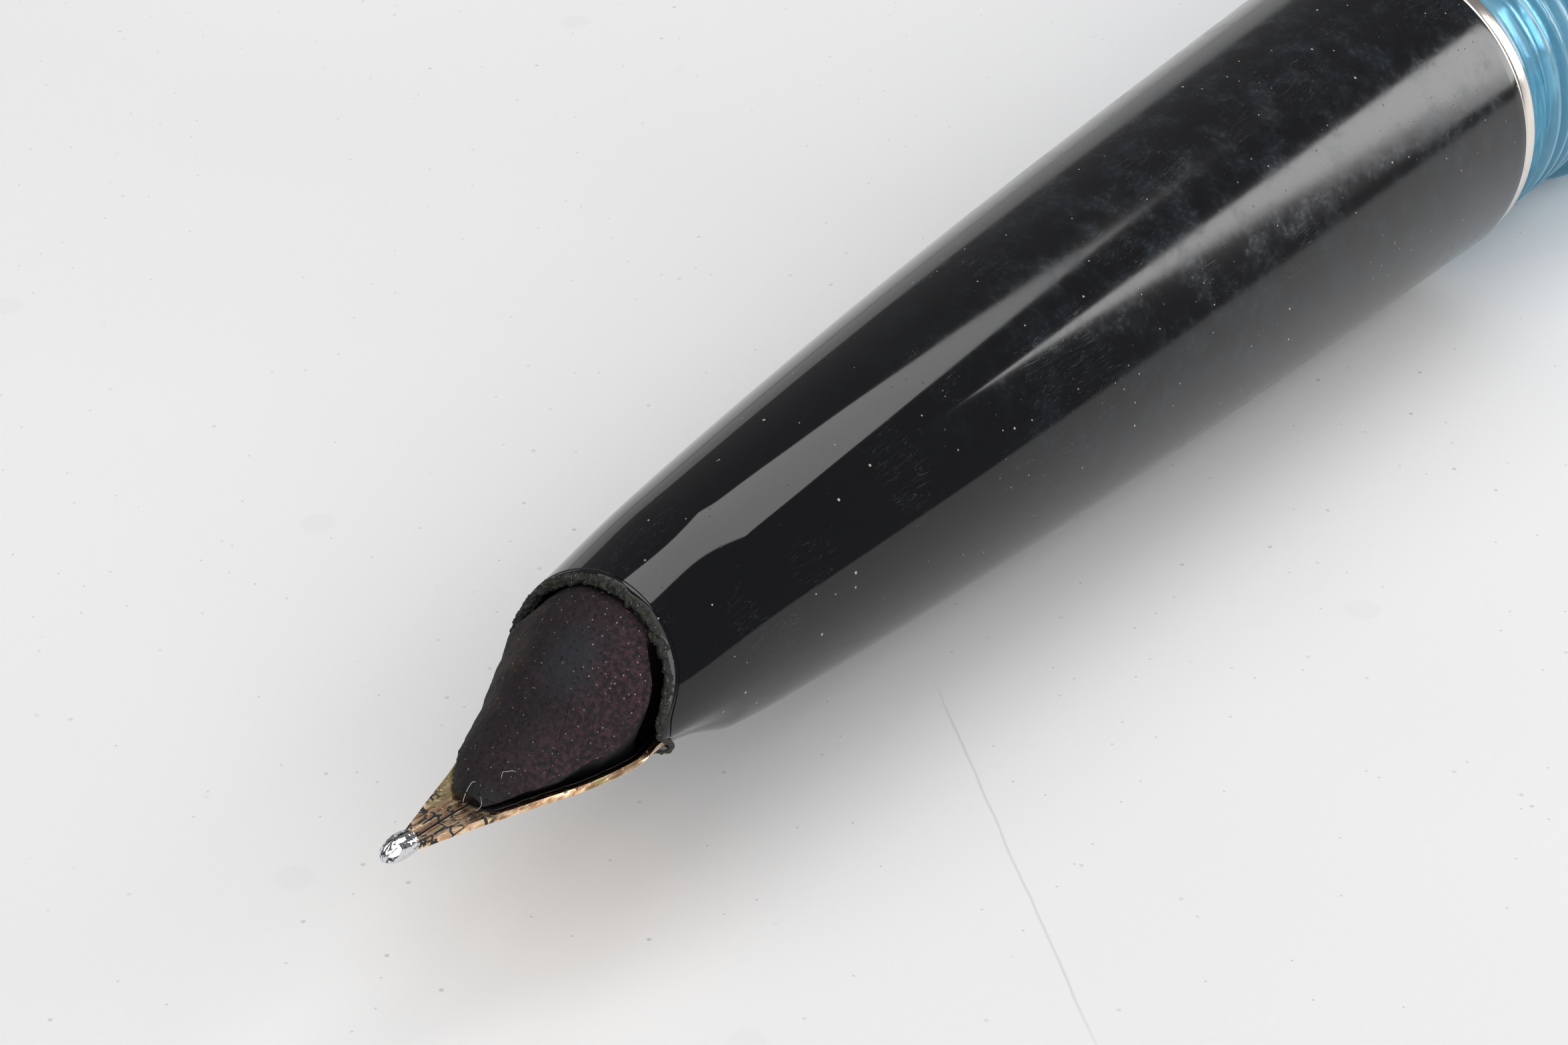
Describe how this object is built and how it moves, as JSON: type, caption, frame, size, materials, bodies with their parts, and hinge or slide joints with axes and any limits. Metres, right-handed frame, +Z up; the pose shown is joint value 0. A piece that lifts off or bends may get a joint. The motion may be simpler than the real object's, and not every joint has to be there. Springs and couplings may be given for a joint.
{
  "type": "fountain pen",
  "caption": "Uncapped fountain pen: tipped nib and feed in an ogive section, translucent threaded barrel, piston filler worked by a turning knob.",
  "frame": {"origin": "centre of the bounding box's underside, under the pen's axis on the surface it lies on", "axes": "+X along the pen from the nib to the turning knob, +Z up on the feed side, +Y across"},
  "size_m": [0.1349, 0.0124, 0.0124],
  "materials": {
    "section_plastic": "glossy black, finely scratched",
    "inner_plastic": "dark moulded plastic",
    "feed_plastic": "dark, stained purple-brown by dried ink",
    "nib_gold": "polished gold, ink in the grain near the tip",
    "tipping_metal": "bright hard tipping",
    "ring_metal": "polished pale silver",
    "barrel_plastic": "translucent blue, polished",
    "tube_plastic": "translucent, almost clear",
    "piston_plastic": "white moulded plastic",
    "brass": "turned brass",
    "rubber": "black rubber"
  },
  "bodies": {
    "barrel_body": {"section_shell": "section_plastic", "nib": "nib_gold", "tipping_left": "tipping_metal", "tipping_right": "tipping_metal", "feed": "feed_plastic", "nib_sleeve": "inner_plastic", "ink_collector": "inner_plastic", "breather_tube": "tube_plastic", "section_connector": "barrel_plastic", "section_o_ring": "rubber", "trim_ring": "ring_metal", "barrel": "barrel_plastic", "guide_collar": "inner_plastic", "spindle_retainer": "brass", "barrel_end_ring": "brass", "friction_washer": "rubber"},
    "piston_body": {"piston_head": "inner_plastic", "piston_seal": "piston_plastic", "piston_rod": "piston_plastic", "rod_nut": "brass"},
    "knob_body": {"spindle": "brass", "turning_knob": "section_plastic", "knob_ring": "ring_metal", "knob_finial": "barrel_plastic"}
  },
  "joints": [
    {"name": "knob_turn", "type": "hinge", "parent": "barrel_body", "child": "knob_body", "pos_m": [0.05257, 0, 0.0062], "axis": [1, 0, 0], "range_deg": [0, 1440]},
    {"name": "piston_slide", "type": "slide", "parent": "barrel_body", "child": "piston_body", "axis": [-1, 0, 0], "range_m": [0, 0.022]}
  ],
  "couplings": [
    {"joint": "knob_turn", "follows": "piston_slide", "rad_per_m": 1142.4}
  ]
}
